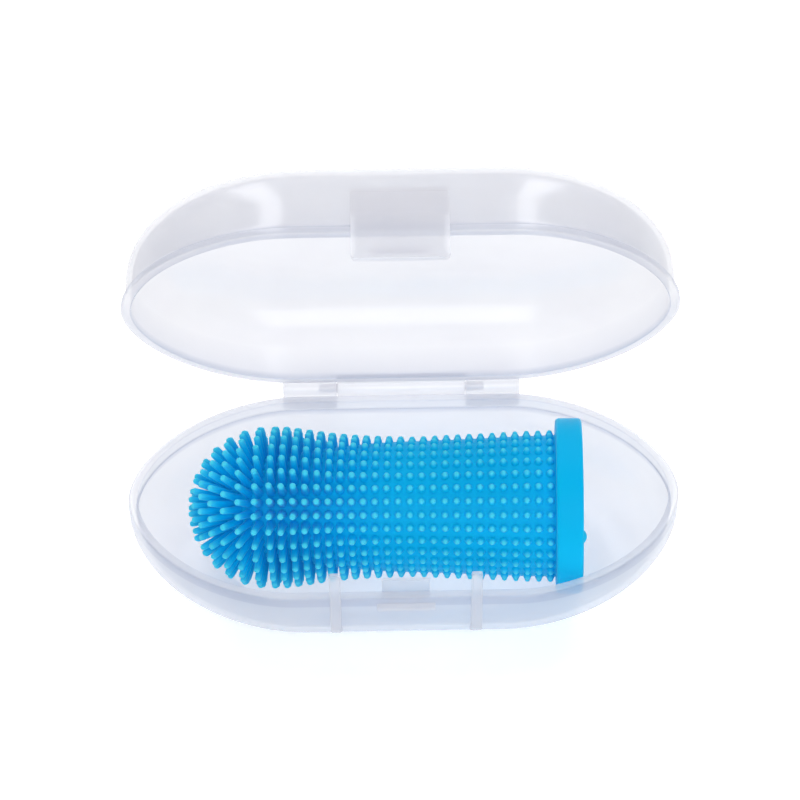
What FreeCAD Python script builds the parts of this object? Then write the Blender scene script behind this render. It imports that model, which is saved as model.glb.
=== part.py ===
import FreeCAD, Part
import math
import os
import Sketcher

# Finger-worn pet toothbrush of soft silicone, lying in its hinged oval case of
# translucent polypropylene.  Millimetres.  +X runs along the case, +Y towards
# the hinge, +Z up.  Origin: centre of the tray's underside.

doc = FreeCAD.newDocument("pet_toothbrush")
sheet = doc.addObject("Spreadsheet::Sheet", "Params")

CELLS = [
    # plan outline shared by tray and lid
    ("half_length", 41.5),
    ("half_depth", 22.2),
    ("end_reach", 25.1),
    ("rim_power", 1.80),
    ("floor_power", 1.87),
    # tray
    ("tray_height", 13.5),
    ("tray_side", 1.0),
    ("tray_floor", 0.9),
    ("tray_turn_depth", 10.5),
    ("tray_turn_length", 14.0),
    ("tray_turn_rise", 11.2),
    ("rim_tall", 1.8),
    ("rim_wide", 1.45),
    # lid
    ("lid_height", 16.0),
    ("lid_gap", 0.15),
    ("lid_step", 0.25),
    ("lid_side", 0.9),
    ("lid_roof", 0.9),
    ("lid_turn_depth", 10.9),
    ("lid_turn_length", 11.0),
    ("lid_turn_rise", 10.5),
    ("lid_rim_tall", 1.6),
    ("lid_rim_proud", 0.35),
    ("lid_rim_inset", 1.15),
    ("lid_open", 69.4),
    # hinge
    ("hinge_back", 1.75),
    ("knuckle_radius", 1.4),
    ("barrel_half", 9.95),
    ("lug_near", 10.15),
    ("lug_long", 8.45),
    ("lug_web_drop", 2.6),
    ("web_face", 0.1),
    ("pin_radius", 0.70),
    ("pin_long", 3.0),
    ("socket_radius", 0.77),
    ("socket_deep", 3.3),
    # latch
    ("tab_half", 7.05),
    ("tab_drop", 4.8),
    ("tab_top", 0.9),
    ("tab_inner", 0.50),
    ("tab_thick", 0.95),
    ("pad_gap", 0.15),
    ("pad_end", 8.3),
    ("hook_half", 4.2),
    ("hook_reach", 0.40),
    ("hook_low", 3.7),
    ("hook_high", 2.6),
    ("catch_half", 4.25),
    ("catch_reach", 0.40),
    ("catch_low", 2.4),
    ("catch_high", 1.2),
    ("guard_near", 9.4),
    ("guard_wide", 1.6),
    ("guard_rise", 6.0),
    ("guard_back", 0.65),
    ("guard_front", 1.6),
    ("tongue_half", 3.45),
    ("tongue_thick", 0.65),
    ("tongue_rise", 2.0),
    # finger brush, its own axis runs from the centre of the domed tip
    ("brush_x", -20.2),
    ("brush_y", -2.6),
    ("brush_z", 13.2),
    ("brush_yaw", -2.45),
    ("brush_pitch", 1.41),
    ("brush_reach", 46.8),
    ("bore_radius", 8.4),
    ("bore_mouth", 3.2),
    ("bore_long", 23.0),
    ("draft_bore_radius", 8.1),
    ("tip_bore_radius", 6.3),
    ("cuff_radius", 13.1),
    ("cuff_seat", 10.55),
    ("cuff_wide", 4.1),
    ("cuff_round", 0.5),
    ("pip_radius", 1.25),
    ("pip_out", 0.45),
    ("row_count", 32),
    ("column_count", 25),
    ("column_first", 1.0),
    ("column_pitch", 1.71),
    ("bristle_root", 0.62),
    ("bristle_tip", 0.47),
    ("bristle_sunk", 0.30),
]
for number, (alias, value) in enumerate(CELLS, 1):
    sheet.set("A%d" % number, alias)
    sheet.set("B%d" % number, str(value))
    sheet.setAlias("B%d" % number, alias)
doc.recompute()


def P(alias):
    return float(getattr(sheet, alias))


def E(text):
    # expression text: names in braces become sheet cells
    return text.replace("{", "Params.").replace("}", "")


def V(x, y, z):
    return FreeCAD.Vector(x, y, z)


# ---------------------------------------------------------------- outlines
# Two straight sides joined by superelliptic ends.
ARC_STEPS = 16


def half_end(a, r, e, power, side):
    pts = []
    for i in range(2 * ARC_STEPS + 1):
        t = -math.pi / 2 + math.pi * i / (2 * ARC_STEPS)
        cx = max(math.cos(t), 0.0) ** (2 / power)
        sy = math.copysign(abs(math.sin(t)) ** (2 / power), math.sin(t))
        pts.append((side * (a - e + e * cx), side * r * sy))
    return pts


def outline(a, r, e, power, z):
    right = [V(x, y, z) for x, y in half_end(a, r, e, power, 1)]
    left = [V(x, y, z) for x, y in half_end(a, r, e, power, -1)]
    u = [i / (2.0 * ARC_STEPS) for i in range(2 * ARC_STEPS + 1)]
    edges = []
    for pts, way in ((right, 1), (left, -1)):
        curve = Part.BSplineCurve()
        curve.interpolate(Points=pts, Parameters=u,
                          InitialTangent=V(way, 0, 0), FinalTangent=V(-way, 0, 0))
        edges.append(curve.toShape())
    front = Part.LineSegment(left[-1], right[0]).toShape()
    back = Part.LineSegment(right[-1], left[0]).toShape()
    return Part.Wire([front, edges[0], back, edges[1]])


def inset_outline(inset, z, power=None):
    a, r, e = P("half_length") - inset, P("half_depth") - inset, P("end_reach") - inset
    return outline(a, r, e, power or P("rim_power"), z)


def bowl(z_rim, way, height, side, base, turn_depth, turn_length, turn_rise,
         edge_inset, steps=6, over=0.0):
    """Solid bowl: straight wall from the rim plane, then a quarter-elliptic turn
    into the flat floor.  side and base shrink it to the inner surface."""
    wires = []
    a0, r0, e0 = (P("half_length") - edge_inset, P("half_depth") - edge_inset,
                  P("end_reach") - edge_inset)
    for i in range(steps + 1):
        k = math.radians(90 - 90.0 * i / steps)
        c, s = math.cos(k), math.sin(k)
        ny = math.hypot(turn_rise * c, turn_depth * s)
        nx = math.hypot(turn_rise * c, turn_length * s)
        iy = turn_depth * (1 - c) + side * turn_rise * c / ny
        ix = turn_length * (1 - c) + side * turn_rise * c / nx
        rise = turn_rise * (1 - s) + base * turn_depth * s / ny
        power = P("rim_power") + (P("floor_power") - P("rim_power")) * (1 - i / float(steps))
        a, r = a0 - ix, r0 - iy
        e = (e0 - side * turn_rise * c / nx) * a / (a0 - side * turn_rise * c / nx)
        z = z_rim + way * (height - rise)
        wires.append(outline(a, r, e, power, z))
    top = height - turn_rise
    if top + over > 0.05:
        for part in (0.5, 1.0):
            z = z_rim + way * (top * (1 - part) - over * part)
            wires.append(outline(a, r, e, power, z))
    if way > 0:
        wires.reverse()
    solid = Part.makeLoft(wires, True, False)
    if solid.Volume < 0:
        solid.reverse()
    return solid


def feature(name, shape):
    obj = doc.addObject("Part::Feature", name)
    obj.Shape = shape
    return obj


def boolean(kind, name, base, tool):
    obj = doc.addObject("Part::" + kind, name)
    obj.Base, obj.Tool = base, tool
    return obj


def box(name, x, y, z, length, width, height):
    obj = doc.addObject("Part::Box", name)
    for prop, text in (("Length", length), ("Width", width), ("Height", height),
                       ("Placement.Base.x", x), ("Placement.Base.y", y),
                       ("Placement.Base.z", z)):
        obj.setExpression(prop, E(text))
    return obj


def cylinder_x(name, x, y, z, radius, height):
    obj = doc.addObject("Part::Cylinder", name)
    obj.Placement = FreeCAD.Placement(V(0, 0, 0), FreeCAD.Rotation(V(0, 1, 0), 90))
    for prop, text in (("Radius", radius), ("Height", height),
                       ("Placement.Base.x", x), ("Placement.Base.y", y),
                       ("Placement.Base.z", z)):
        obj.setExpression(prop, E(text))
    return obj


def origin_plane(body, role):
    return [f for f in body.Origin.OriginFeatures if f.Role == role][0]


def polygon_body(name, plane, vertices, length, lift=None):
    """A body padded both ways from an origin plane, from a polygon whose every
    vertex is tied to the sheet.  Returns (body, pad)."""
    body = doc.addObject("PartDesign::Body", name)
    sketch = body.newObject("Sketcher::SketchObject", name + "_profile")
    sketch.AttachmentSupport = [(origin_plane(body, plane), "")]
    sketch.MapMode = "FlatFace"
    if lift:
        sketch.setExpression("AttachmentOffset.Base.z", E(lift))
    doc.recompute()
    pts = []
    for ux, uy in vertices:
        pts.append(V(value_of(ux), value_of(uy), 0))
    n = len(pts)
    for i in range(n):
        sketch.addGeometry(Part.LineSegment(pts[i], pts[(i + 1) % n]), False)
    for i in range(n):
        sketch.addConstraint(Sketcher.Constraint("Coincident", i, 2, (i + 1) % n, 1))
    for i, (ux, uy) in enumerate(vertices):
        for axis, text, value in (("DistanceX", ux, pts[i].x), ("DistanceY", uy, pts[i].y)):
            c = sketch.addConstraint(Sketcher.Constraint(axis, -1, 1, i, 1, value))
            sketch.renameConstraint(c, "%s_%d" % (axis[-1].lower() + "v", i))
            sketch.setExpression("Constraints.%s_%d" % (axis[-1].lower() + "v", i), E(text))
    doc.recompute()
    pad = body.newObject("PartDesign::Pad", name + "_pad")
    pad.Profile = sketch
    pad.setExpression("Length", E(length))
    if hasattr(pad, "SideType"):
        pad.SideType = "Symmetric"
    else:
        pad.Midplane = True
    body.Tip = pad
    doc.recompute()
    return body, pad


def value_of(text):
    expression = text.replace("{", 'P("').replace("}", '")')
    total, sign, token = 0.0, 1, ""
    # sums and differences of cells and numbers only
    for piece in expression.replace("-", "+-").split("+"):
        piece = piece.strip()
        if not piece:
            continue
        factor = 1.0
        if piece.startswith("-"):
            factor, piece = -1.0, piece[1:].strip()
        product = 1.0
        for item in piece.split("*"):
            item = item.strip()
            product *= P(item[3:-2]) if item.startswith('P("') else float(item)
        total += factor * product
    return total


RIM = P("tray_height")
HINGE_Y = P("half_depth") + P("hinge_back")
HINGE_Z = RIM
LID_OPEN = FreeCAD.Placement(V(0, 0, 0), FreeCAD.Rotation(V(-1, 0, 0), P("lid_open")),
                             V(0, HINGE_Y, HINGE_Z))

nodes = []


def node(obj, label, placement=None):
    obj.Label = label
    if placement is not None:
        obj.Placement = placement
    nodes.append(obj)
    return obj


# ---------------------------------------------------------------- tray
tray_envelope = feature("tray_envelope", bowl(
    RIM, -1, RIM, 0, 0, P("tray_turn_depth"), P("tray_turn_length"),
    P("tray_turn_rise"), 0.0))
tray_hollow = feature("tray_hollow", bowl(
    RIM, -1, RIM, P("tray_side"), P("tray_floor"), P("tray_turn_depth"),
    P("tray_turn_length"), P("tray_turn_rise"), 0.0, over=1.0))
tray_band = box("tray_band", "-{half_length}-5", "-{half_depth}-5", "-1",
                "2*{half_length}+10", "2*{half_depth}+10", "{tray_height}-{rim_tall}+1")
tray_blank = boolean("Common", "tray_blank", tray_envelope, tray_band)
tray_shell = node(boolean("Cut", "tray_shell", tray_blank, tray_hollow), "tray_shell")


def ring(name, outer, inner, z, height):
    parts = []
    for tag, inset, extra in (("outer", outer, 0.0), ("inner", inner, 0.5)):
        face = feature("%s_%s_face" % (name, tag),
                       Part.Face(inset_outline(inset, z - extra)))
        tall = doc.addObject("Part::Extrusion", "%s_%s" % (name, tag))
        tall.Base = face
        tall.DirMode = "Custom"
        tall.Dir = V(0, 0, 1)
        tall.setExpression("LengthFwd", E("%s+%s" % (height, 2 * extra)))
        tall.Solid = True
        parts.append(tall)
    return boolean("Cut", name, parts[0], parts[1])


tray_rim = node(ring("tray_rim", 0.0, P("rim_wide"), RIM - P("rim_tall"), "{rim_tall}"),
                "tray_rim")

# hinge lugs behind the tray, each with a blind socket for the lid's pin
for side, word in ((-1, "left"), (1, "right")):
    near = "-{lug_near}-{lug_long}" if side < 0 else "{lug_near}"
    knuckle = cylinder_x("lug_knuckle_" + word, near, "{half_depth}+{hinge_back}",
                         "{tray_height}", "{knuckle_radius}", "{lug_long}")
    web = box("lug_web_" + word, near, "{half_depth}", "{tray_height}-{lug_web_drop}",
              "{lug_long}", "{hinge_back}+{knuckle_radius}*0.55",
              "{lug_web_drop}-0.35")
    joined = boolean("Fuse", "lug_joined_" + word, knuckle, web)
    start = "-{lug_near}-{socket_deep}" if side < 0 else "{lug_near}-0.5"
    socket = cylinder_x("lug_socket_" + word, start, "{half_depth}+{hinge_back}",
                        "{tray_height}", "{socket_radius}", "{socket_deep}+0.5")
    node(boolean("Cut", "hinge_lug_" + word, joined, socket), "hinge_lug_" + word)

# latch guards: ribs that rise past the rim on both sides of the tab
for side, word in ((-1, "left"), (1, "right")):
    blank, pad = polygon_body("guard_blank_" + word, "YZ_Plane", [
        ("-{half_depth}-{guard_back}", "{tray_height}+{guard_rise}"),
        ("-{half_depth}-{guard_front}", "{tray_height}+{guard_rise}"),
        ("-{half_depth}-{guard_front}", "7.3"),
        ("-{half_depth}+3.55", "2.5"),
        ("-{half_depth}+8.0", "2.5"),
        ("-{half_depth}+4.0", "{tray_height}-1.0"),
        ("-{half_depth}-{guard_back}", "{tray_height}-0.1"),
    ], "{guard_wide}")
    top = [i + 1 for i, e in enumerate(pad.Shape.Edges)
           if abs(e.BoundBox.ZMin - e.BoundBox.ZMax) < 1e-6
           and e.BoundBox.ZMax > RIM + P("guard_rise") - 1e-3
           and e.BoundBox.XLength < 1e-6]
    soft = blank.newObject("PartDesign::Fillet", "guard_round_" + word)
    soft.Base = (pad, ["Edge%d" % i for i in top])
    soft.Radius = 0.55
    blank.Tip = soft
    blank.Placement = FreeCAD.Placement(
        V(side * (P("guard_near") + P("guard_wide") / 2), 0, 0), FreeCAD.Rotation())
    node(boolean("Cut", "latch_guard_" + word, blank, tray_envelope), "latch_guard_" + word)

# catch ridge on the front wall, just under the rim
catch, _ = polygon_body("latch_catch", "YZ_Plane", [
    ("-{half_depth}-0.002", "{tray_height}-{catch_high}"),
    ("-{half_depth}-{catch_reach}", "{tray_height}-{catch_high}-0.55"),
    ("-{half_depth}-{catch_reach}", "{tray_height}-{catch_low}"),
    ("-{half_depth}-0.002", "{tray_height}-{catch_low}"),
], "2*{catch_half}")
node(catch, "latch_catch")

# locating tongue that stands up inside the lid
tongue_blank = box("tongue_blank", "-{tongue_half}", "-{half_depth}+{rim_wide}",
                   "{tray_height}-{rim_tall}", "2*{tongue_half}", "{tongue_thick}",
                   "{rim_tall}+{tongue_rise}")
doc.recompute()
tongue = doc.addObject("Part::Fillet", "locating_tongue")
tongue.Base = tongue_blank
tongue.Edges = [(i + 1, 0.5, 0.5) for i, e in enumerate(tongue_blank.Shape.Edges)
                if e.BoundBox.ZMin > RIM + P("tongue_rise") - 1e-3 and e.BoundBox.XLength < 1e-6]
node(tongue, "locating_tongue")

# ---------------------------------------------------------------- lid, drawn shut
LID_Z = RIM + P("lid_gap")
lid_envelope = feature("lid_envelope", bowl(
    LID_Z, 1, P("lid_height"), 0, 0, P("lid_turn_depth"), P("lid_turn_length"),
    P("lid_turn_rise"), P("lid_step")))
lid_hollow = feature("lid_hollow", bowl(
    LID_Z, 1, P("lid_height"), P("lid_side"), P("lid_roof"), P("lid_turn_depth"),
    P("lid_turn_length"), P("lid_turn_rise"), P("lid_step"), over=1.0))
lid_band = box("lid_band", "-{half_length}-5", "-{half_depth}-5",
               "{tray_height}+{lid_gap}+{lid_rim_tall}", "2*{half_length}+10",
               "2*{half_depth}+10", "{lid_height}")
lid_blank = boolean("Common", "lid_blank", lid_envelope, lid_band)
lid_shell = node(boolean("Cut", "lid_shell", lid_blank, lid_hollow), "lid_shell", LID_OPEN)

lid_ring = ring("lid_ring", -P("lid_rim_proud"), P("lid_rim_inset"), LID_Z, "{lid_rim_tall}")
hinge_relief = box("hinge_relief", "-{lug_near}-{lug_long}-4", "{half_depth}+{web_face}",
                   "{tray_height}-1", "2*{lug_near}+2*{lug_long}+8", "3", "5")
lid_rim = node(boolean("Cut", "lid_rim", lid_ring, hinge_relief), "lid_rim", LID_OPEN)

barrel_round = cylinder_x("barrel_round", "-{barrel_half}", "{half_depth}+{hinge_back}",
                          "{tray_height}", "{knuckle_radius}", "2*{barrel_half}")
barrel_web = box("barrel_web", "-{barrel_half}", "{half_depth}+{web_face}",
                 "{tray_height}+{lid_gap}", "2*{barrel_half}",
                 "{hinge_back}-{web_face}", "{knuckle_radius}-{lid_gap}")
node(boolean("Fuse", "lid_hinge_barrel", barrel_round, barrel_web), "lid_hinge_barrel", LID_OPEN)

for side, word in ((-1, "left"), (1, "right")):
    start = "-{barrel_half}-{pin_long}" if side < 0 else "{barrel_half}"
    pin = cylinder_x("pin_" + word, start, "{half_depth}+{hinge_back}", "{tray_height}",
                     "{pin_radius}", "{pin_long}")
    doc.recompute()
    held = doc.addObject("Part::Chamfer", "hinge_pin_" + word)
    held.Base = pin
    far = (-1 if side < 0 else 1) * (P("barrel_half") + P("pin_long"))
    held.Edges = [(i + 1, 0.2, 0.2) for i, e in enumerate(pin.Shape.Edges)
                  if e.BoundBox.XLength < 1e-6 and abs(e.BoundBox.XMin - far) < 1e-3]
    node(held, "hinge_pin_" + word, LID_OPEN)

# thickened pad that carries the latch tab
pad_body, _ = polygon_body("pad_blank", "YZ_Plane", [
    ("-{half_depth}-{tab_inner}-{tab_thick}", "{tray_height}+{tab_top}+{pad_gap}"),
    ("-{half_depth}-{tab_inner}-{tab_thick}", "{tray_height}+{tab_top}+{pad_gap}+1.2"),
    ("-{half_depth}+0.75", "{tray_height}+{pad_end}"),
    ("-{half_depth}+3.0", "{tray_height}+{pad_end}"),
    ("-{half_depth}+3.0", "{tray_height}+{tab_top}+{pad_gap}"),
], "2*{tab_half}")
pad_trim = boolean("Cut", "pad_trim", pad_body, lid_envelope)
ring_block = doc.addObject("Part::Extrusion", "ring_block")
ring_block.Base = doc.getObject("lid_ring_outer_face")
ring_block.DirMode = "Custom"
ring_block.Dir = V(0, 0, 1)
ring_block.setExpression("LengthFwd", E("{lid_rim_tall}"))
ring_block.Solid = True
node(boolean("Cut", "lid_latch_pad", pad_trim, ring_block), "lid_latch_pad", LID_OPEN)

# ---------------------------------------------------------------- latch tab, drawn shut
tab_body, tab_pad = polygon_body("latch_tab", "XZ_Plane", [
    ("-{tab_half}", "{tray_height}-{tab_drop}"),
    ("{tab_half}", "{tray_height}-{tab_drop}"),
    ("{tab_half}", "{tray_height}+{tab_top}"),
    ("-{tab_half}", "{tray_height}+{tab_top}"),
], "{tab_thick}", lift="{half_depth}+{tab_inner}+{tab_thick}*0.5")
corners = [i + 1 for i, e in enumerate(tab_pad.Shape.Edges)
           if e.BoundBox.ZMax < RIM - P("tab_drop") + 1e-3 and e.BoundBox.XLength < 1e-6]
tab_soft = tab_body.newObject("PartDesign::Fillet", "tab_round")
tab_soft.Base = (tab_pad, ["Edge%d" % i for i in corners])
tab_soft.Radius = 0.8
tab_body.Tip = tab_soft
node(tab_body, "latch_tab", LID_OPEN)

hook_body, _ = polygon_body("latch_hook", "YZ_Plane", [
    ("-{half_depth}-{tab_inner}", "{tray_height}-{hook_high}"),
    ("-{half_depth}-{tab_inner}+{hook_reach}", "{tray_height}-{hook_high}-0.12"),
    ("-{half_depth}-{tab_inner}+{hook_reach}", "{tray_height}-{hook_high}-0.45"),
    ("-{half_depth}-{tab_inner}", "{tray_height}-{hook_low}"),
], "2*{hook_half}")
node(hook_body, "latch_hook", LID_OPEN)

# ---------------------------------------------------------------- finger brush
BRUSH = FreeCAD.Placement(
    V(P("brush_x"), P("brush_y"), P("brush_z")),
    FreeCAD.Rotation(V(0, 0, 1), P("brush_yaw")) * FreeCAD.Rotation(V(0, 1, 0), -P("brush_pitch")))

# radius of the smooth sleeve and of the bristle tips, along the brush's axis
SLEEVE = [(0.0, 7.8), (4.0, 8.15), (8.0, 8.7), (12.0, 9.2), (16.0, 9.55), (20.0, 9.75),
          (24.0, 9.85), (28.0, 10.0), (33.0, 10.2), (38.0, 10.45), (42.7, 10.55), (46.8, 10.55)]
TIPS = [(0.0, 12.2), (2.5, 12.2), (5.0, 11.9), (7.5, 11.5), (10.2, 11.15), (13.8, 10.85),
        (17.0, 10.7), (22.0, 10.55), (25.0, 10.7), (28.0, 10.85), (33.0, 11.05),
        (38.0, 11.3), (42.7, 11.4)]


def table(rows, u):
    for (u0, r0), (u1, r1) in zip(rows, rows[1:]):
        if u <= u1:
            return r0 + (r1 - r0) * (u - u0) / (u1 - u0)
    return rows[-1][1]


REACH = P("brush_reach")
sleeve_body = doc.addObject("PartDesign::Body", "finger_sleeve")
profile = sleeve_body.newObject("Sketcher::SketchObject", "sleeve_profile")
profile.AttachmentSupport = [(origin_plane(sleeve_body, "XY_Plane"), "")]
profile.MapMode = "FlatFace"
doc.recompute()
tip = SLEEVE[0][1]
bore, tip_bore, bore_long = P("bore_radius"), P("tip_bore_radius"), P("bore_long")
mouth, draft_bore = P("bore_mouth"), P("draft_bore_radius")
outer = Part.BSplineCurve()
outer.interpolate(Points=[V(u, r, 0) for u, r in SLEEVE[:-1]])
s45 = math.sqrt(0.5)
geometry = [
    Part.Arc(V(-tip, 0, 0), V(-tip * s45, tip * s45, 0), V(0, tip, 0)),
    outer,
    Part.LineSegment(V(SLEEVE[-2][0], SLEEVE[-2][1], 0), V(REACH, P("cuff_seat"), 0)),
    Part.LineSegment(V(REACH, P("cuff_seat"), 0), V(REACH, bore, 0)),
    Part.LineSegment(V(REACH, bore, 0), V(REACH - mouth, bore, 0)),
    Part.LineSegment(V(REACH - mouth, bore, 0), V(REACH - bore_long, draft_bore, 0)),
    Part.LineSegment(V(REACH - bore_long, draft_bore, 0), V(1.0, tip_bore, 0)),
    Part.Arc(V(1.0, tip_bore, 0), V(1.0 - tip_bore * s45, tip_bore * s45, 0), V(1.0 - tip_bore, 0, 0)),
    Part.LineSegment(V(1.0 - tip_bore, 0, 0), V(-tip, 0, 0)),
]
for g in geometry:
    profile.addGeometry(g, False)
reach_line = profile.addConstraint(Sketcher.Constraint("DistanceX", -1, 1, 3, 1, REACH))
profile.renameConstraint(reach_line, "reach")
profile.setExpression("Constraints.reach", E("{brush_reach}"))
bore_line = profile.addConstraint(Sketcher.Constraint("DistanceY", -1, 1, 4, 1, bore))
profile.renameConstraint(bore_line, "bore")
profile.setExpression("Constraints.bore", E("{bore_radius}"))
doc.recompute()
spin = sleeve_body.newObject("PartDesign::Revolution", "sleeve_spin")
spin.Profile = profile
spin.ReferenceAxis = (profile, ["H_Axis"])
spin.Angle = 360.0
sleeve_body.Tip = spin
node(sleeve_body, "finger_sleeve", BRUSH)

cuff_round_blank = cylinder_x("cuff_outer", "{brush_reach}-{cuff_wide}", "0", "0",
                              "{cuff_radius}", "{cuff_wide}")
cuff_hole = cylinder_x("cuff_hole", "{brush_reach}-{cuff_wide}-1", "0", "0",
                       "{cuff_seat}", "{cuff_wide}+2")
doc.recompute()
cuff_soft = doc.addObject("Part::Fillet", "cuff_soft")
cuff_soft.Base = cuff_round_blank
cuff_soft.Edges = [(i + 1, P("cuff_round"), P("cuff_round"))
                   for i, e in enumerate(cuff_round_blank.Shape.Edges)
                   if e.BoundBox.XLength < 1e-6]
node(boolean("Cut", "grip_cuff", cuff_soft, cuff_hole), "grip_cuff", BRUSH)

pip_ball = doc.addObject("Part::Sphere", "pip_ball")
pip_ball.setExpression("Radius", E("{pip_radius}"))
pip_ball.setExpression("Placement.Base.x", E("{brush_reach}+{pip_out}-{pip_radius}"))
pip_ball.setExpression("Placement.Base.y", E("-0.93*11.8"))
pip_ball.setExpression("Placement.Base.z", E("0.367*11.8"))
pip_block = cylinder_x("pip_block", "{brush_reach}-{cuff_wide}", "0", "0",
                       "{cuff_radius}+1", "{cuff_wide}")
node(boolean("Cut", "cuff_pip", pip_ball, pip_block), "cuff_pip", BRUSH)


bristle_cache = {}
BRISTLE_SIDES = 10


def bristle(root, out, direction):
    """One bristle: tapered, blunt-tipped, ten-sided, its foot sunk in the sleeve."""
    key = round(out, 3)
    if key not in bristle_cache:
        r0, r1, sunk = P("bristle_root"), P("bristle_tip"), P("bristle_sunk")
        r1 = min(r1, out * 0.62)
        blunt = min(0.35, r1 * 0.8)
        rings = []
        for r, h in ((r0, 0.0), (r1, out + sunk - blunt), (r1 * 0.55, out + sunk)):
            rings.append([V(r * math.cos(2 * math.pi * i / BRISTLE_SIDES),
                            r * math.sin(2 * math.pi * i / BRISTLE_SIDES), h)
                          for i in range(BRISTLE_SIDES)])
        faces = [Part.Face(Part.makePolygon(ring + ring[:1])) for ring in (rings[0], rings[-1])]
        for low, high in zip(rings, rings[1:]):
            for i in range(BRISTLE_SIDES):
                j = (i + 1) % BRISTLE_SIDES
                faces.append(Part.Face(Part.makePolygon([low[i], low[j], high[j], high[i], low[i]])))
        solid = Part.Solid(Part.Shell(faces))
        if solid.Volume < 0:
            solid.reverse()
        bristle_cache[key] = solid
    solid = bristle_cache[key].copy()
    solid.Placement = FreeCAD.Placement(root - direction * P("bristle_sunk"),
                                        FreeCAD.Rotation(V(0, 0, 1), direction))
    return solid


rows = int(P("row_count"))
# direction of the first row: faces the open front of the case
first = math.radians(138.0)
crown, head, nubs = [], [], []
# domed tip, ring by ring from the pole
for polar, count in ((0, 1), (12, 7), (24, 14), (36, 20), (48, 24), (60, 26), (72, rows), (84, rows)):
    a = math.radians(polar)
    for i in range(count):
        t = first + 2 * math.pi * (i + (0.5 if polar in (12, 36, 60) else 0)) / count
        d = V(-math.cos(a), -math.sin(a) * math.sin(t), -math.sin(a) * math.cos(t))
        if polar == 84:
            d = V(-math.cos(a), -math.sin(a) * math.sin(t), -math.sin(a) * math.cos(t))
        crown.append(bristle(d * tip, TIPS[0][1] - tip, d))
for column in range(int(P("column_count"))):
    u = P("column_first") + P("column_pitch") * column
    inner, far = table(SLEEVE, u), table(TIPS, u)
    for i in range(rows):
        t = first + 2 * math.pi * i / rows
        d = V(0, -math.sin(t), -math.cos(t))
        made = bristle(V(u, 0, 0) + d * inner, far - inner, d)
        (head if u < 19.0 else nubs).append(made)
for name, solids in (("crown_bristles", crown), ("head_bristles", head), ("body_nubs", nubs)):
    node(feature(name, Part.makeCompound(solids)), name, BRUSH)

# ---------------------------------------------------------------- check, then write
doc.recompute()
bad = [o.Name for o in doc.Objects if "Invalid" in o.State or "Error" in o.State]
if bad:
    raise RuntimeError("not built: %s" % bad)
for obj in nodes:
    shape = obj.Shape
    if shape.isNull() or not shape.isValid() or not shape.Solids or shape.Volume <= 0:
        raise RuntimeError("bad shape: " + obj.Label)
os.makedirs("parts", exist_ok=True)
for obj in nodes:
    obj.Shape.exportStep(os.path.join("parts", obj.Label + ".step"))
    print("%-20s solids %4d  volume %9.2f  box %s" % (
        obj.Label, len(obj.Shape.Solids), obj.Shape.Volume,
        [round(v, 2) for v in (obj.Shape.BoundBox.XMin, obj.Shape.BoundBox.YMin,
                               obj.Shape.BoundBox.ZMin, obj.Shape.BoundBox.XMax,
                               obj.Shape.BoundBox.YMax, obj.Shape.BoundBox.ZMax)]))
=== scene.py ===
import bpy
import bmesh
import math
import numpy as np
from mathutils import Matrix, Quaternion, Vector


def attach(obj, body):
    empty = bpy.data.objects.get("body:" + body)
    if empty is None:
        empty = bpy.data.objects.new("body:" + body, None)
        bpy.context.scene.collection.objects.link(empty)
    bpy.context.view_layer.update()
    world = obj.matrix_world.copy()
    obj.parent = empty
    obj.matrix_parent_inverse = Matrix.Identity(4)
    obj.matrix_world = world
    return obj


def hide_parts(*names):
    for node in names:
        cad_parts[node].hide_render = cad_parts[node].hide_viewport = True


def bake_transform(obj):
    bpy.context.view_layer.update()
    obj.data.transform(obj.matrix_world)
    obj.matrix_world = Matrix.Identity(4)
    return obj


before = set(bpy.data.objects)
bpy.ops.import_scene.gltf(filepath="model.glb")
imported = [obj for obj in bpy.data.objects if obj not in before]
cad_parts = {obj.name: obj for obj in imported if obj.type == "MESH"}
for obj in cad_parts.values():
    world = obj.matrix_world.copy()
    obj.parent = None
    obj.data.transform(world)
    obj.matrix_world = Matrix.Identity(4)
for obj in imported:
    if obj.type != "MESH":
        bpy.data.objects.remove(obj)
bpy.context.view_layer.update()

MM = 0.001

# ------------------------------------------------------------ sizes, as in the CAD (mm)
A, R, E = 41.5, 22.2, 25.1
P_RIM, P_FLOOR = 1.80, 1.87
HB = 13.5
LID_Z, LID_H = 13.65, 16.0
HINGE_Y, HINGE_Z = 23.95, 13.5
OPEN = math.radians(69.4)
BRUSH_AT = Vector((-20.2, -2.6, 13.2))
BRUSH_ROT = (Matrix.Rotation(math.radians(-2.45), 3, "Z")
             @ Matrix.Rotation(math.radians(-1.41), 3, "Y"))


# ------------------------------------------------------------ materials
def new_material(name):
    m = bpy.data.materials.new(name)
    m.use_nodes = True
    nt = m.node_tree
    for n in list(nt.nodes):
        nt.nodes.remove(n)
    out = nt.nodes.new("ShaderNodeOutputMaterial")
    return m, nt, out


def link(nt, a, b):
    nt.links.new(a, b)


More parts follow.
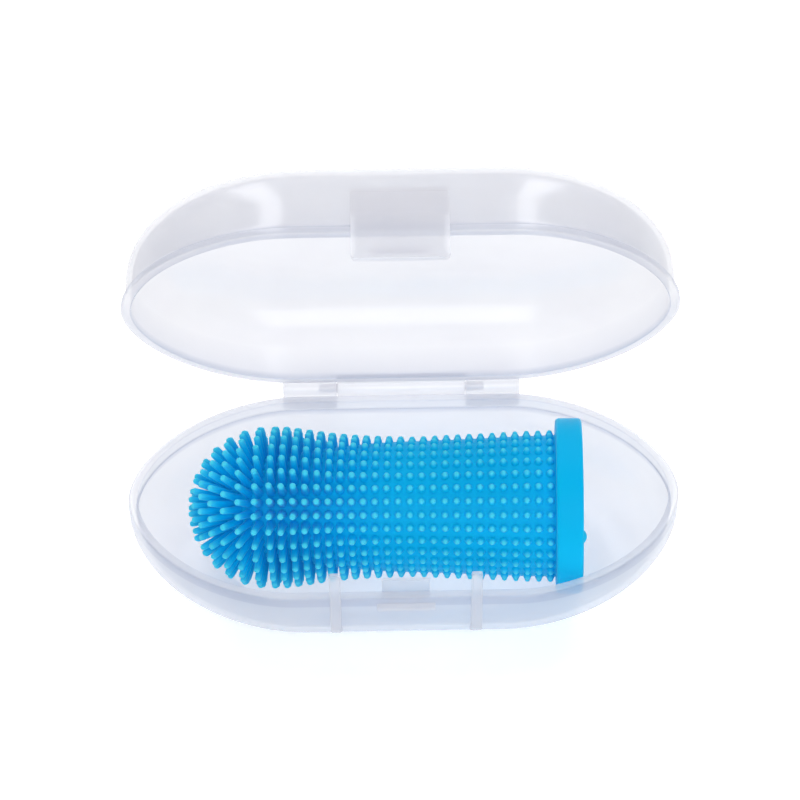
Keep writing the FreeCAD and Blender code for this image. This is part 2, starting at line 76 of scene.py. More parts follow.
def polypropylene(name, clear=0.58, tint=(0.905, 0.895, 0.92), see=(0.995, 0.992, 0.994)):
    """Milky translucent polypropylene: part lit on its surface, part glowing with the
    light behind it, part showing what is behind it."""
    m, nt, out = new_material(name)
    tc = nt.nodes.new("ShaderNodeTexCoord")
    # cloudy flow of the melt, very faint
    flow = nt.nodes.new("ShaderNodeTexNoise")
    flow.inputs["Scale"].default_value = 90.0
    flow.inputs["Detail"].default_value = 3.0
    link(nt, tc.outputs["Object"], flow.inputs["Vector"])
    cloud = nt.nodes.new("ShaderNodeValToRGB")
    cloud.color_ramp.elements[0].position = 0.30
    cloud.color_ramp.elements[0].color = (tint[0] * 0.975, tint[1] * 0.975, tint[2] * 0.985, 1)
    cloud.color_ramp.elements[1].position = 0.72
    cloud.color_ramp.elements[1].color = (tint[0] * 1.02, tint[1] * 1.02, tint[2] * 1.015, 1)
    link(nt, flow.outputs["Fac"], cloud.inputs["Fac"])
    # thick corners, steps and beads let less light through than the walls; the same mask also paints
    # shade: it darkens the colour and the see-through along the bead's edges and under the rim's step,
    # where shade falls
    thick_and_shade = nt.nodes.new("ShaderNodeAttribute")
    thick_and_shade.attribute_name = "thick_and_shade"
    thick_and_shade.attribute_type = "GEOMETRY"
    # painted shade, partly thicker plastic: the colour goes to a darker, bluer grey where the mask is high
    dense_and_shade = nt.nodes.new("ShaderNodeMix")
    dense_and_shade.data_type = "RGBA"
    link(nt, thick_and_shade.outputs["Fac"], dense_and_shade.inputs[0])
    link(nt, cloud.outputs["Color"], dense_and_shade.inputs[6])
    dense_and_shade.inputs[7].default_value = (tint[0] * 0.60, tint[1] * 0.64, tint[2] * 0.74, 1)
    # painted shade, partly thicker plastic: less of what is behind shows through where the mask is high
    dim = nt.nodes.new("ShaderNodeMix")
    dim.data_type = "RGBA"
    link(nt, thick_and_shade.outputs["Fac"], dim.inputs[0])
    dim.inputs[6].default_value = (see[0], see[1], see[2], 1)
    dim.inputs[7].default_value = (0.86, 0.88, 0.93, 1)
    # fine mould texture and a slow waviness
    grain = nt.nodes.new("ShaderNodeTexNoise")
    grain.inputs["Scale"].default_value = 2600.0
    grain.inputs["Detail"].default_value = 2.0
    link(nt, tc.outputs["Object"], grain.inputs["Vector"])
    wave = nt.nodes.new("ShaderNodeTexNoise")
    wave.inputs["Scale"].default_value = 140.0
    wave.inputs["Detail"].default_value = 1.0
    link(nt, tc.outputs["Object"], wave.inputs["Vector"])
    b1 = nt.nodes.new("ShaderNodeBump")
    b1.inputs["Strength"].default_value = 0.10
    b1.inputs["Distance"].default_value = 0.00006
    link(nt, grain.outputs["Fac"], b1.inputs["Height"])
    b2 = nt.nodes.new("ShaderNodeBump")
    b2.inputs["Strength"].default_value = 0.25
    b2.inputs["Distance"].default_value = 0.00012
    link(nt, wave.outputs["Fac"], b2.inputs["Height"])
    link(nt, b1.outputs["Normal"], b2.inputs["Normal"])
    rough = nt.nodes.new("ShaderNodeMapRange")
    rough.inputs["To Min"].default_value = 0.14
    rough.inputs["To Max"].default_value = 0.20
    link(nt, flow.outputs["Fac"], rough.inputs["Value"])
    skin = nt.nodes.new("ShaderNodeBsdfPrincipled")
    skin.inputs["IOR"].default_value = 1.85
    skin.inputs["Specular IOR Level"].default_value = 0.9
    link(nt, dense_and_shade.outputs[2], skin.inputs["Base Color"])
    link(nt, rough.outputs["Result"], skin.inputs["Roughness"])
    link(nt, b2.outputs["Normal"], skin.inputs["Normal"])
    glow = nt.nodes.new("ShaderNodeBsdfTranslucent")
    link(nt, dense_and_shade.outputs[2], glow.inputs["Color"])
    body = nt.nodes.new("ShaderNodeMixShader")
    body.inputs["Fac"].default_value = 0.5
    link(nt, skin.outputs["BSDF"], body.inputs[1])
    link(nt, glow.outputs["BSDF"], body.inputs[2])
    clear_node = nt.nodes.new("ShaderNodeBsdfTransparent")
    link(nt, dim.outputs[2], clear_node.inputs["Color"])
    mix = nt.nodes.new("ShaderNodeMixShader")
    mix.inputs["Fac"].default_value = clear
    link(nt, body.outputs["Shader"], mix.inputs[1])
    link(nt, clear_node.outputs["BSDF"], mix.inputs[2])
    link(nt, mix.outputs["Shader"], out.inputs["Surface"])
    return m


def silicone(name, deep, mid, light, ramp=(0.0, 0.55, 1.0)):
    """Soft silicone: colour lightens where it is thin, by the 'thin' attribute."""
    m, nt, out = new_material(name)
    tc = nt.nodes.new("ShaderNodeTexCoord")
    at = nt.nodes.new("ShaderNodeAttribute")
    at.attribute_name = "thin"
    at.attribute_type = "GEOMETRY"
    mott = nt.nodes.new("ShaderNodeTexNoise")
    mott.inputs["Scale"].default_value = 160.0
    mott.inputs["Detail"].default_value = 4.0
    link(nt, tc.outputs["Object"], mott.inputs["Vector"])
    shift = nt.nodes.new("ShaderNodeMath")
    shift.operation = "MULTIPLY_ADD"
    shift.inputs[1].default_value = 0.16
    shift.inputs[2].default_value = -0.08
    link(nt, mott.outputs["Fac"], shift.inputs[0])
    add = nt.nodes.new("ShaderNodeMath")
    add.operation = "ADD"
    add.use_clamp = True
    link(nt, at.outputs["Fac"], add.inputs[0])
    link(nt, shift.outputs["Value"], add.inputs[1])
    cr = nt.nodes.new("ShaderNodeValToRGB")
    cr.color_ramp.interpolation = "EASE"
    cr.color_ramp.elements[0].position = ramp[0]
    cr.color_ramp.elements[0].color = (*deep, 1)
    cr.color_ramp.elements[1].position = ramp[2]
    cr.color_ramp.elements[1].color = (*light, 1)
    e = cr.color_ramp.elements.new(ramp[1])
    e.color = (*mid, 1)
    link(nt, add.outputs["Value"], cr.inputs["Fac"])
    fine = nt.nodes.new("ShaderNodeTexNoise")
    fine.inputs["Scale"].default_value = 3200.0
    fine.inputs["Detail"].default_value = 3.0
    link(nt, tc.outputs["Object"], fine.inputs["Vector"])
    bump = nt.nodes.new("ShaderNodeBump")
    bump.inputs["Strength"].default_value = 0.16
    bump.inputs["Distance"].default_value = 0.00008
    link(nt, fine.outputs["Fac"], bump.inputs["Height"])
    rough = nt.nodes.new("ShaderNodeMapRange")
    rough.inputs["To Min"].default_value = 0.42
    rough.inputs["To Max"].default_value = 0.56
    link(nt, mott.outputs["Fac"], rough.inputs["Value"])
    sh = nt.nodes.new("ShaderNodeBsdfPrincipled")
    sh.inputs["IOR"].default_value = 1.41
    sh.inputs["Specular IOR Level"].default_value = 0.10
    sh.inputs["Sheen Weight"].default_value = 0.10
    sh.inputs["Sheen Roughness"].default_value = 0.35
    sh.inputs["Subsurface Weight"].default_value = 0.34
    sh.inputs["Subsurface Radius"].default_value = (0.25, 0.9, 1.3)
    sh.inputs["Subsurface Scale"].default_value = 0.0009
    link(nt, cr.outputs["Color"], sh.inputs["Base Color"])
    link(nt, rough.outputs["Result"], sh.inputs["Roughness"])
    link(nt, bump.outputs["Normal"], sh.inputs["Normal"])
    link(nt, sh.outputs["BSDF"], out.inputs["Surface"])
    return m


PP = polypropylene("case_polypropylene", clear=0.56)
# the same polypropylene with a darker, greyer tint: painted shade, so the lid reads greyer than the tray
SHADED_LID_PP = polypropylene("lid_polypropylene_painted_shade", clear=0.56, tint=(0.852, 0.845, 0.872))
BLUE = silicone("brush_silicone", (0.0, 0.49, 0.93), (0.0, 0.54, 0.95), (0.08, 0.72, 1.0))


# ------------------------------------------------------------ mesh helpers
def add_mesh(name, verts, faces, material, smooth=True, attributes=None, turn_lid=False):
    """verts in mm, in the row frame (or in the shut lid's frame with turn_lid)."""
    v = np.asarray(verts, float)
    if turn_lid:
        v = opened(v)
    me = bpy.data.meshes.new(name)
    me.from_pydata([tuple(c) for c in v * MM], [], faces)
    me.validate()
    me.update()
    if attributes:
        for key, values in attributes.items():
            layer = me.attributes.new(key, "FLOAT", "POINT")
            layer.data.foreach_set("value", np.asarray(values, np.float32))
    me.materials.append(material)
    if smooth:
        me.polygons.foreach_set("use_smooth", [True] * len(me.polygons))
    ob = bpy.data.objects.new(name, me)
    bpy.context.scene.collection.objects.link(ob)
    return ob


def opened(v):
    """From the shut lid's place to the open one."""
    v = np.array(v, float)
    y, z = v[:, 1] - HINGE_Y, v[:, 2] - HINGE_Z
    c, s = math.cos(OPEN), math.sin(OPEN)
    v[:, 1] = HINGE_Y + y * c + z * s
    v[:, 2] = HINGE_Z - y * s + z * c
    return v


def outline(a, r, e, power, n_arc=40, n_line=14):
    t = np.linspace(-math.pi / 2, math.pi / 2, n_arc + 1)
    cx = np.maximum(np.cos(t), 0.0) ** (2 / power)
    sy = np.sign(np.sin(t)) * np.abs(np.sin(t)) ** (2 / power)
    right = np.stack([a - e + e * cx, r * sy], 1)
    left = np.stack([-(a - e) - e * cx[::-1], r * sy[::-1]], 1)
    x = np.linspace(a - e, -(a - e), n_line + 1)[1:-1]
    back = np.stack([x, np.full_like(x, r)], 1)
    front = np.stack([-x, np.full_like(x, -r)], 1)
    return np.concatenate([right, back, left, front])


def loft(rows):
    """rows: list of (outline points Nx2, z).  Closed at both ends by a small cap.
    Returns verts, faces."""
    n = len(rows[0][0])
    verts, faces = [], []
    for pts, z in rows:
        verts.append(np.concatenate([pts, np.full((n, 1), z)], 1))
    verts = np.concatenate(verts)
    for j in range(len(rows) - 1):
        for i in range(n):
            k = (i + 1) % n
            faces.append((j * n + i, j * n + k, (j + 1) * n + k, (j + 1) * n + i))
    faces.append(tuple(reversed(range(n))))
    faces.append(tuple((len(rows) - 1) * n + i for i in range(n)))
    return verts, faces


def bowl_row(edge_inset, side, base, depth, length, rise_max, k):
    c, s = math.cos(k), math.sin(k)
    ny = math.hypot(rise_max * c, depth * s)
    nx = math.hypot(rise_max * c, length * s)
    iy = depth * (1 - c) + side * rise_max * c / ny
    sx = side * rise_max * c / nx
    ix = length * (1 - c) + sx
    rise = rise_max * (1 - s) + base * depth * s / ny
    power = P_RIM + (P_FLOOR - P_RIM) * (k / (math.pi / 2))
    a0, r0, e0 = A - edge_inset, R - edge_inset, E - edge_inset
    a, r = a0 - ix, r0 - iy
    e = (e0 - sx) * a / (a0 - sx)
    return a, r, e, power, rise


def bowl_rows(edge_inset, side, base, depth, length, rise_max, height, z_rim, way, steps=20):
    """Rows from the middle of the floor out to where the straight wall starts."""
    rows = []
    a, r, e, power, rise = bowl_row(edge_inset, side, base, depth, length, rise_max, math.pi / 2)
    z = z_rim + way * (height - rise)
    for f in (0.06, 0.25, 0.45, 0.65, 0.82, 0.93):
        # towards the middle the rows shrink on to a short line
        rows.append((outline(a - r * (1 - f), r * f, e - r * (1 - f) * 0.98, power), z))
    for i in range(steps + 1):
        k = math.radians(90 - 90.0 * i / steps)
        a, r, e, power, rise = bowl_row(edge_inset, side, base, depth, length, rise_max, k)
        rows.append((outline(a, r, e, power), z_rim + way * (height - rise)))
    return rows


def inset_row(inset, z):
    return (outline(A - inset, R - inset, E - inset, P_RIM), z)


def round_corner(c_in, z_in, radius, start, end, n=5):
    """Rows round an edge: centre at (inset, z), from angle start to end in degrees,
    0 pointing inwards (more inset) and 90 up."""
    out = []
    for t in np.linspace(math.radians(start), math.radians(end), n):
        out.append(inset_row(c_in + radius * math.cos(t), z_in + radius * math.sin(t)))
    return out


# ------------------------------------------------------------ tray
rows = bowl_rows(0.0, 0, 0, 10.5, 14.0, 11.2, HB, HB, -1)
# per-row strength of the painted shade (partly thicker plastic): faint on the outer band below the rim,
# full on the rows under the rim's step
thick_and_shade = [0.0] * len(rows)
rows += [inset_row(0.0, 11.72), inset_row(0.0, 11.9), inset_row(0.0, 13.0)]
thick_and_shade += [0.0, 0.28, 0.28]
rows += round_corner(0.32, HB - 0.32, 0.32, 180, 90)
thick_and_shade += [0.25, 0.2, 0.1, 0.0, 0.0]
rows += round_corner(1.45 - 0.28, HB - 0.28, 0.28, 90, 0)
thick_and_shade += [0.0, 0.1, 0.35, 0.3, 0.1]
rows += [inset_row(1.45, 12.3)]
thick_and_shade += [0.1]
# painted shadow under the rim's step: full strength on the rows below the ledge, seen directly at the back
# and through the wall at the front
rows += round_corner(1.45 - 0.25, 11.95, 0.25, 0, -75, 4)
thick_and_shade += [0.6, 1.0, 1.0, 1.0]
inner = bowl_rows(0.0, 1.0, 0.9, 10.5, 14.0, 11.2, HB, HB, -1)
rows += [inset_row(1.0, 11.50)]
thick_and_shade += [1.0]
rows += list(reversed(inner))
thick_and_shade += [0.9] + [0.0] * (len(inner) - 1)
v, f = loft(rows)
tray = add_mesh("case_tray", v, f, PP, attributes={"thick_and_shade": np.repeat(thick_and_shade, len(rows[0][0]))})
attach(tray, "case_base")
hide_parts("tray_shell", "tray_rim")

# ------------------------------------------------------------ lid (made shut, turned open)
rows = bowl_rows(0.25, 0, 0, 10.9, 11.0, 10.5, LID_H, LID_Z, 1)
rows += [inset_row(0.25, 16.6), inset_row(0.25, 15.75)]
# per-row strength of the painted shade (partly thicker plastic): dark lines along the bead's curves and at
# its inner edge
thick_and_shade = [0.0] * len(rows)
# hollow sweep from the wall out to the bead
rows += [inset_row(0.22, 15.42), inset_row(0.12, 15.12), inset_row(-0.05, 14.90)]
thick_and_shade += [0.05, 0.3, 0.55]
rows += round_corner(-0.35 + 0.28, LID_Z + 0.86, 0.28, 120, 180, 4)
rows += round_corner(-0.35 + 0.28, LID_Z + 0.28, 0.28, 180, 270, 5)
rows += round_corner(1.15 - 0.2, LID_Z + 0.2, 0.2, 270, 360, 4)
thick_and_shade += [0.55, 0.5, 0.4, 0.4, 0.35, 0.3, 0.1, 0.0, 0.0, 0.1, 0.7, 1.0, 0.8]
inner = bowl_rows(0.25, 0.9, 0.9, 10.9, 11.0, 10.5, LID_H, LID_Z, 1)
rows += [inset_row(1.15, LID_Z + 1.2)]
thick_and_shade += [0.3]
rows += list(reversed(inner))
thick_and_shade += [0.0] * len(inner)
thick_and_shade = np.repeat(thick_and_shade, len(rows[0][0]))
v, f = loft(rows)
v = np.array(v)
# the bead is trimmed flat beside the hinge
near = (np.abs(v[:, 0]) < 22.0) & (v[:, 1] > R + 0.1)
v[near, 1] = R + 0.1
lid = add_mesh("case_lid", v, f, SHADED_LID_PP, attributes={"thick_and_shade": thick_and_shade}, turn_lid=True)
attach(lid, "case_lid")
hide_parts("lid_shell", "lid_rim")


# ------------------------------------------------------------ small mouldings
def prism(name, profile, x0, x1, bevel, body, nodes, segments=3, turn_lid=False):
    """A YZ profile carried from x0 to x1, with every edge softened."""
    bm = bmesh.new()
    lo = [bm.verts.new((x0, y, z)) for y, z in profile]
    hi = [bm.verts.new((x1, y, z)) for y, z in profile]
    bm.faces.new(lo)
    bm.faces.new(list(reversed(hi)))
    n = len(profile)
    for i in range(n):
        k = (i + 1) % n
        bm.faces.new((lo[k], lo[i], hi[i], hi[k]))
    bmesh.ops.recalc_face_normals(bm, faces=bm.faces[:])
    if bevel:
        sharp = [e for e in bm.edges if e.calc_face_angle(0) > math.radians(32)]
        bmesh.ops.bevel(bm, geom=sharp, offset=bevel, segments=segments, affect="EDGES",
                        profile=0.5, clamp_overlap=True)
    bmesh.ops.triangulate(bm, faces=[f for f in bm.faces if len(f.verts) > 4])
    bm.verts.index_update()
    verts = np.array([tuple(w.co) for w in bm.verts])
    faces = [tuple(w.index for w in f.verts) for f in bm.faces]
    bm.free()
    ob = add_mesh(name, verts, faces, PP, turn_lid=turn_lid)
    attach(ob, body)
    if nodes:
        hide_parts(*nodes)
    return ob


# latch guards: from the foot of the front wall to well above the rim
for side, word in ((-1, "left"), (1, "right")):
    x0, x1 = sorted((side * 9.4, side * 11.0))
    prism("guard_" + word, [
        (-R - 0.65, HB + 6.0), (-R - 1.6, HB + 6.0), (-R - 1.6, 8.05), (-R + 3.62, 2.6),
        (-R + 5.1, 2.55), (-R + 2.0, 5.0), (-R + 0.75, 8.5),
        (-R + 0.45, HB - 0.6), (-R - 0.65, HB - 0.3)],
        x0, x1, 0.28, "case_base", ["latch_guard_" + word])

# hinge: lugs on the tray, barrel on the lid
def knuckle(y_web, z_web_low, z_web_high, sweep):
    pts = []
    for d in sweep:
        a = math.radians(d)
        pts.append((HINGE_Y + 1.4 * math.cos(a), HINGE_Z + 1.4 * math.sin(a)))
    return pts


for side, word in ((-1, "left"), (1, "right")):
    x0, x1 = sorted((side * 10.15, side * 18.6))
    arc = knuckle(0, 0, 0, range(160, -61, -20))
    profile = [(R - 0.15, HB - 0.35), (R + 0.42, HB - 0.30)] + arc + [
        (HINGE_Y + 0.5, HB - 2.1), (R - 0.15, HB - 2.6)]
    prism("hinge_lug_%s_shape" % word, profile, x0, x1, 0.16, "case_base",
          ["hinge_lug_" + word], segments=2)

arc = [(HINGE_Y + 1.4 * math.cos(math.radians(d)), HINGE_Z + 1.4 * math.sin(math.radians(d)))
       for d in range(90, -181, -18)]
prism("hinge_barrel_shape", arc + [(R + 0.62, LID_Z + 0.02), (R - 0.1, LID_Z + 0.02),
                                   (R - 0.1, HB + 1.4)],
      -10.07, 10.07, 0.14, "case_lid", ["lid_hinge_barrel"], segments=2, turn_lid=True)

# catch ridge and tongue on the tray
prism("catch_ridge", [(-R + 0.3, HB - 1.2), (-R, HB - 1.2), (-R - 0.40, HB - 1.75),
                      (-R - 0.40, HB - 2.4), (-R + 0.3, HB - 2.4)],
      -4.25, 4.25, 0.1, "case_base", ["latch_catch"], segments=2)
prism("tongue", [(-R + 1.45, HB - 1.2), (-R + 1.45, HB + 2.0), (-R + 2.1, HB + 2.0),
                 (-R + 2.1, HB - 1.8), (-R + 1.3, HB - 1.8), (-R + 1.3, HB - 1.2)],
      -3.45, 3.45, 0.22, "case_base", ["locating_tongue"])


# latch flap: pad on the lid and the flexing tab below it, one moulding
def flap():
    # (z from the rim plane, half width, outer y, inner y), shut frame, top to bottom
    rows = []
    pad_top, bottom = 8.3, -4.8
    y_out = -(R + 1.45)

    def outer(z):
        if z < 2.25:
            return y_out
        u = (z - 2.25) / (pad_top - 2.25)
        return y_out + (1.45 + 0.75) * u

    def inner(z):
        if z > 1.15:
            # sunk in the lid's wall, then following its curve
            return max(outer(z) + 0.25, -(R - 0.75) + 0.0)
        return -(R + 0.5)

    zs = list(np.linspace(pad_top, 2.25, 9)) + [1.8, 1.4, 1.16, 1.0, 0.9, 0.6, 0.0, -1.0, -2.0, -3.0, -3.8]
    r = 0.8
    zs += [bottom + r - r * math.sin(t) for t in np.linspace(0, math.pi / 2, 6)]
    for z in zs:
        w = 7.05
        if z < bottom + r:
            w = 7.05 - r + math.sqrt(max(r * r - (bottom + r - z) ** 2, 0))
        rows.append((HB + z, w, outer(z), inner(z)))
    verts, faces = [], []
    nx = 12
    for z, w, yo, yi in rows:
        ring = []
        for i in range(nx + 1):
            ring.append((-w + 2 * w * i / nx, yo, z))
        ring += [(w, (yo + yi) / 2, z)]
        for i in range(nx + 1):
            ring.append((w - 2 * w * i / nx, yi, z))
        ring += [(-w, (yo + yi) / 2, z)]
        verts += ring
    n = 2 * (nx + 1) + 2
    for j in range(len(rows) - 1):
        for i in range(n):
            k = (i + 1) % n
            faces.append((j * n + i, j * n + k, (j + 1) * n + k, (j + 1) * n + i))
    faces.append(tuple(reversed(range(n))))
    faces.append(tuple((len(rows) - 1) * n + i for i in range(n)))
    bm = bmesh.new()
    bv = [bm.verts.new(p) for p in verts]
    for q in faces:
        bm.faces.new([bv[i] for i in q])
    bmesh.ops.recalc_face_normals(bm, faces=bm.faces[:])
    sharp = [e for e in bm.edges if e.calc_face_angle(0) > math.radians(50)]
    bmesh.ops.bevel(bm, geom=sharp, offset=0.22, segments=3, affect="EDGES", profile=0.5,
                    clamp_overlap=True)
    bmesh.ops.triangulate(bm, faces=[q for q in bm.faces if len(q.verts) > 4])
    bm.verts.index_update()
    out_v = np.array([tuple(w.co) for w in bm.verts])
    out_f = [tuple(w.index for w in q.verts) for q in bm.faces]
    bm.free()
    return out_v, out_f


v, f = flap()
tab = add_mesh("latch_flap", v, f, PP, turn_lid=True)
pivot = opened(np.array([[0, -(R + 0.975), HB + 1.15], [0, -(R + 0.975), HB + 0.2]])) * MM
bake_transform(tab)
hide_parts("lid_latch_pad", "latch_tab")
prism("latch_hook_shape", [
    (-(R + 0.5) - 0.2, HB - 2.6), (-(R + 0.5), HB - 2.6), (-(R + 0.1), HB - 2.72),
    (-(R + 0.1), HB - 3.05), (-(R + 0.5), HB - 3.7), (-(R + 0.5) - 0.2, HB - 3.7)],
    -4.2, 4.2, 0.06, "latch_tab", ["latch_hook"], segments=2, turn_lid=True)

for n in ("hinge_pin_left", "hinge_pin_right"):
    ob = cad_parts[n]
    for slot in ob.material_slots:
        slot.material = PP

# ------------------------------------------------------------ finger brush
SLEEVE = [(0.0, 7.8), (4.0, 8.15), (8.0, 8.7), (12.0, 9.2), (16.0, 9.55), (20.0, 9.75),
          (24.0, 9.85), (28.0, 10.0), (33.0, 10.2), (38.0, 10.45), (42.7, 10.55), (46.8, 10.55)]
TIPS = [(0.0, 12.2), (2.5, 12.2), (5.0, 11.9), (7.5, 11.5), (10.2, 11.15), (13.8, 10.85),
        (17.0, 10.7), (22.0, 10.55), (25.0, 10.7), (28.0, 10.85), (33.0, 11.05),
        (38.0, 11.3), (42.7, 11.4)]
TIP = 7.8
REACH = 46.8


def table(rows, u):
    return float(np.interp(u, [q[0] for q in rows], [q[1] for q in rows]))


def placed(v):
    v = np.asarray(v, float)
    m = np.array(BRUSH_ROT)
    return v @ m.T + np.array(BRUSH_AT)


profile, thin = [], []
for d in np.linspace(0, 90, 15):
    a = math.radians(d)
    profile.append((-TIP * math.cos(a), TIP * math.sin(a)))
    thin.append(0.18)
smooth_u = np.linspace(1.0, 42.0, 42)
for u in smooth_u:
    profile.append((u, table(SLEEVE, u)))
    thin.append(0.20)
CUFF0, CR = REACH - 3.9, 13.1
# neck fillet, cuff with rolled corners, lip round the mouth, bore and its domed end
profile += [(CUFF0 - 0.28, 10.55), (CUFF0 - 0.07, 10.65), (CUFF0, 10.90), (CUFF0, 11.8)]
thin += [0.3, 0.3, 0.35, 0.45]
for d in np.linspace(0, 90, 6):
    a = math.radians(d)
    profile.append((CUFF0 + 0.55 - 0.55 * math.cos(a), CR - 0.55 + 0.55 * math.sin(a)))
    thin.append(0.47)
profile += [(CUFF0 + 2.0, CR), (CUFF0 + 3.0, CR)]
thin += [0.42, 0.42]
for d in np.linspace(90, 0, 6):
    a = math.radians(d)
    profile.append((REACH - 0.55 + 0.55 * math.cos(a), CR - 0.55 + 0.55 * math.sin(a)))
    thin.append(0.47)
profile += [(REACH, 11.6), (REACH, 10.0)]
thin += [0.5, 0.45]
for d in np.linspace(0, 90, 5):
    a = math.radians(d)
    profile.append((REACH - 0.5 + 0.5 * math.cos(a), 8.4 + 0.5 - 0.5 * math.sin(a)))
    thin.append(0.45)
for u in np.linspace(REACH - 2.0, REACH - 23.0, 12):
    profile.append((u, 8.4 - 0.3 * max(0.0, REACH - u - 3.2) / 19.8))
    thin.append(0.3)
for u in np.linspace(REACH - 24.5, 1.0, 12):
    profile.append((u, 8.1 + (6.3 - 8.1) * (REACH - 23.0 - u) / (REACH - 24.0)))
    thin.append(0.2)
for d in np.linspace(8, 90, 9):
    a = math.radians(d)
    profile.append((1.0 - 6.3 * math.sin(a), 6.3 * math.cos(a)))
    thin.append(0.2)
N = 128
verts, thick = [], []
for (u, r), t in zip(profile, thin):
    r = max(r, 0.0)
    if r < 1e-6:
        verts.append((u, 0.0, 0.0))
        thick.append(t)
        continue
    for i in range(N):
        a = 2 * math.pi * i / N
        verts.append((u, r * math.sin(a), r * math.cos(a)))
        thick.append(t)
faces, at = [], 0
counts = [1 if r < 1e-6 else N for _, r in profile]
starts = np.concatenate([[0], np.cumsum(counts)])
for j in range(len(profile) - 1):
    a, b = starts[j], starts[j + 1]
    for i in range(N):
        k = (i + 1) % N
        if counts[j] == 1:
            faces.append((a, b + k, b + i))
        elif counts[j + 1] == 1:
            faces.append((a + i, a + k, b))
        else:
            faces.append((a + i, a + k, b + k, b + i))
faces = [tuple(int(x) for x in q) for q in faces]
sleeve = add_mesh("brush_sleeve", placed(verts), faces, BLUE, attributes={"thin": thick})
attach(sleeve, "finger_brush")
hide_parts("finger_sleeve", "grip_cuff")

# the small pip on the cuff's end face
verts, faces, thick = [], [], []
M = 16
for j, d in enumerate((-35, -12, 12, 34, 56, 76)):
    a = math.radians(d)
    for i in range(M):
        b = 2 * math.pi * i / M
        verts.append((REACH + 0.45 - 1.25 + 1.25 * math.sin(a),
                      -0.93 * 11.8 + 1.25 * math.cos(a) * math.cos(b),
                      0.367 * 11.8 + 1.25 * math.cos(a) * math.sin(b)))
        thick.append(0.6)
for j in range(5):
    for i in range(M):
        k = (i + 1) % M
        faces.append((j * M + i, j * M + k, (j + 1) * M + k, (j + 1) * M + i))
verts.append((REACH + 0.45, -0.93 * 11.8, 0.367 * 11.8))
thick.append(0.7)
verts.append((REACH + 0.45 - 1.25 - 0.72, -0.93 * 11.8, 0.367 * 11.8))
thick.append(0.6)
for i in range(M):
    k = (i + 1) % M
    faces.append((5 * M + i, 5 * M + k, 6 * M))
    faces.append((k, i, 6 * M + 1))
pip = add_mesh("brush_pip", placed(verts), faces, BLUE, attributes={"thin": thick})
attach(pip, "finger_brush")
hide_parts("cuff_pip")

rng = np.random.RandomState(7)
SEG = 12


def bristle_field(name, items, node):
    """items: (root point, direction, standing height, seed tilt)."""
    verts, faces, thin = [], [], []
    ring = np.stack([np.cos(np.arange(SEG) * 2 * np.pi / SEG),
                     np.sin(np.arange(SEG) * 2 * np.pi / SEG)], 1)
    for root, d, out, tilt in items:
        d = d + rng.normal(0, 1, 3) * tilt
        d = d / np.linalg.norm(d)
        e1 = np.cross(d, (0.0, 0.0, 1.0) if abs(d[2]) < 0.9 else (0.0, 1.0, 0.0))
        e1 = e1 / np.linalg.norm(e1)
        e2 = np.cross(d, e1)
        short = out <= 1.2
        r0 = (0.55 if short else 0.60) + 0.012 * rng.normal()
        r1 = 0.38 + 0.05 * max(0.0, out - 0.85) / 0.35 if short else 0.47
        r1 = min(r1, out * 0.55)
        cap = r1 * 0.85
        body = out - cap
        # (height above the sleeve, radius, thin)
        low = 0.20 if short else 0.0
        prof = [(-0.30, r0 * 1.14, 0.15 + low), (0.02, r0 * 1.13, 0.22 + low),
                (min(0.16, body * 0.3), r0 * 1.02, 0.30 + low)]
        if out > 1.2:
            for q in (0.35, 0.6, 0.82):
                prof.append((body * q, r0 + (r1 - r0) * q, 0.30 + 0.45 * q))
        prof.append((body, r1, 0.80))
        for t in (25, 48, 70):
            a = math.radians(t)
            prof.append((body + cap * math.sin(a), r1 * math.cos(a), 0.86 + 0.1 * math.sin(a)))
        base = len(verts)
        for w, r, th in prof:
            p = root + d * w
            for i in range(SEG):
                verts.append(p + e1 * (ring[i, 0] * r) + e2 * (ring[i, 1] * r))
                thin.append(th)
        tip_i = len(verts)
        verts.append(root + d * out)
        thin.append(1.0)
        foot_i = len(verts)
        verts.append(root - d * 0.34)
        thin.append(0.15)
        rows_n = len(prof)
        for j in range(rows_n - 1):
            for i in range(SEG):
                k = (i + 1) % SEG
                faces.append((base + j * SEG + i, base + j * SEG + k,
                              base + (j + 1) * SEG + k, base + (j + 1) * SEG + i))
        for i in range(SEG):
            k = (i + 1) % SEG
            faces.append((base + (rows_n - 1) * SEG + i, base + (rows_n - 1) * SEG + k, tip_i))
            faces.append((base + k, base + i, foot_i))
    ob = add_mesh(name, placed(np.array(verts)), faces, BLUE, attributes={"thin": thin})
    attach(ob, "finger_brush")
    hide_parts(node)
    return ob


ROWS = 32
first = math.radians(138.0)
crown, head, nubs = [], [], []
for polar, count in ((0, 1), (12, 7), (24, 14), (36, 20), (48, 24), (60, 26), (72, ROWS), (84, ROWS)):
    a = math.radians(polar)
    for i in range(count):
        t = first + 2 * math.pi * (i + (0.5 if polar in (12, 36, 60) else 0)) / count
        d = np.array((-math.cos(a), -math.sin(a) * math.sin(t), -math.sin(a) * math.cos(t)))
        crown.append((d * TIP, d, TIPS[0][1] - TIP - 0.02, 0.012))
for column in range(25):
    u = 1.0 + 1.71 * column
    inner_r, far = table(SLEEVE, u), table(TIPS, u)
    for i in range(ROWS):
        t = first + 2 * math.pi * i / ROWS
        d = np.array((0.0, -math.sin(t), -math.cos(t)))
        item = (np.array((u, 0.0, 0.0)) + d * inner_r, d, far - inner_r - 0.02,
                0.012 if u < 19.0 else 0.006)
        (head if u < 19.0 else nubs).append(item)
bristle_field("brush_crown_bristles", crown, "crown_bristles")
bristle_field("brush_head_bristles", head, "head_bristles")
bristle_field("brush_body_nubs", nubs, "body_nubs")

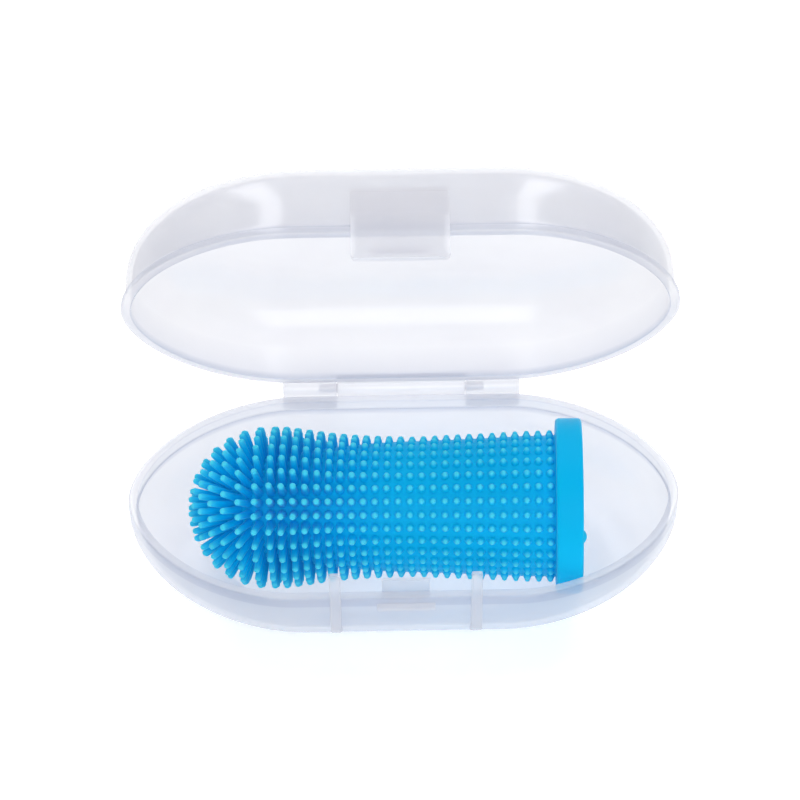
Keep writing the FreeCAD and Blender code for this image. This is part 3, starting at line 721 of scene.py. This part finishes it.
# ------------------------------------------------------------ floor, lights, camera
floor_mat, nt, out = new_material("studio_floor")
fb = nt.nodes.new("ShaderNodeBsdfPrincipled")
fb.inputs["Base Color"].default_value = (0.90, 0.90, 0.90, 1)
fb.inputs["Emission Color"].default_value = (0.97, 0.98, 1.0, 1)
fb.inputs["Emission Strength"].default_value = 0.44
fb.inputs["Roughness"].default_value = 0.9
fb.inputs["Specular IOR Level"].default_value = 0.1
link(nt, fb.outputs["BSDF"], out.inputs["Surface"])
me = bpy.data.meshes.new("studio_floor")
S = 3.0
me.from_pydata([(-S, -S, 0), (S, -S, 0), (S, S, 0), (-S, S, 0)], [], [(0, 1, 2, 3)])
me.materials.append(floor_mat)
floor = bpy.data.objects.new("studio_floor", me)
bpy.context.scene.collection.objects.link(floor)

world = bpy.data.worlds.new("studio")
bpy.context.scene.world = world
world.use_nodes = True
bg = world.node_tree.nodes["Background"]
bg.inputs["Color"].default_value = (0.97, 0.98, 1.0, 1)
bg.inputs["Strength"].default_value = 0.36


def area(name, at, aim, w, h, power, color=(1, 1, 1), roll=0.0):
    d = bpy.data.lights.new(name, "AREA")
    d.shape = "RECTANGLE"
    d.size, d.size_y = w, h
    d.energy = power
    d.color = color
    o = bpy.data.objects.new(name, d)
    o.location = at
    turn = (Vector(aim) - Vector(at)).to_track_quat("-Z", "Y")
    o.rotation_euler = (turn @ Quaternion((0, 0, 1), math.radians(roll))).to_euler()
    bpy.context.scene.collection.objects.link(o)


area("soft_left", (-0.215, 0.40, 0.55), (0, 0, 0.03), 0.17, 0.78, 1.60, roll=-15.6)
area("soft_right", (0.205, 0.40, 0.55), (0, 0, 0.03), 0.17, 0.78, 1.60, roll=15.6)
area("soft_front", (0.05, -0.80, 0.62), (0, 0, 0.02), 0.9, 0.6, 3.6)

el, az, roll = math.radians(41.5), math.radians(-0.40), math.radians(-0.70)
back = Vector((math.sin(az) * math.cos(el), -math.cos(az) * math.cos(el), math.sin(el)))
right = Vector((math.cos(az), math.sin(az), 0))
up = back.cross(right)
R2 = right * math.cos(roll) + up * math.sin(roll)
U2 = -right * math.sin(roll) + up * math.cos(roll)
cam_data = bpy.data.cameras.new("photo_camera")
cam = bpy.data.objects.new("photo_camera", cam_data)
cam_data.sensor_width = 36.0
cam_data.lens = 6.48 * 400 / 800 * 36
cam_data.clip_start = 0.01
loc = (back * 400 + R2 * (-0.66) + U2 * 23.94) * MM
rot = Matrix((R2, U2, back)).transposed()
cam.matrix_world = Matrix.Translation(loc) @ rot.to_4x4()
bpy.context.scene.collection.objects.link(cam)
bpy.context.scene.camera = cam
bpy.context.scene.view_settings.view_transform = "Standard"
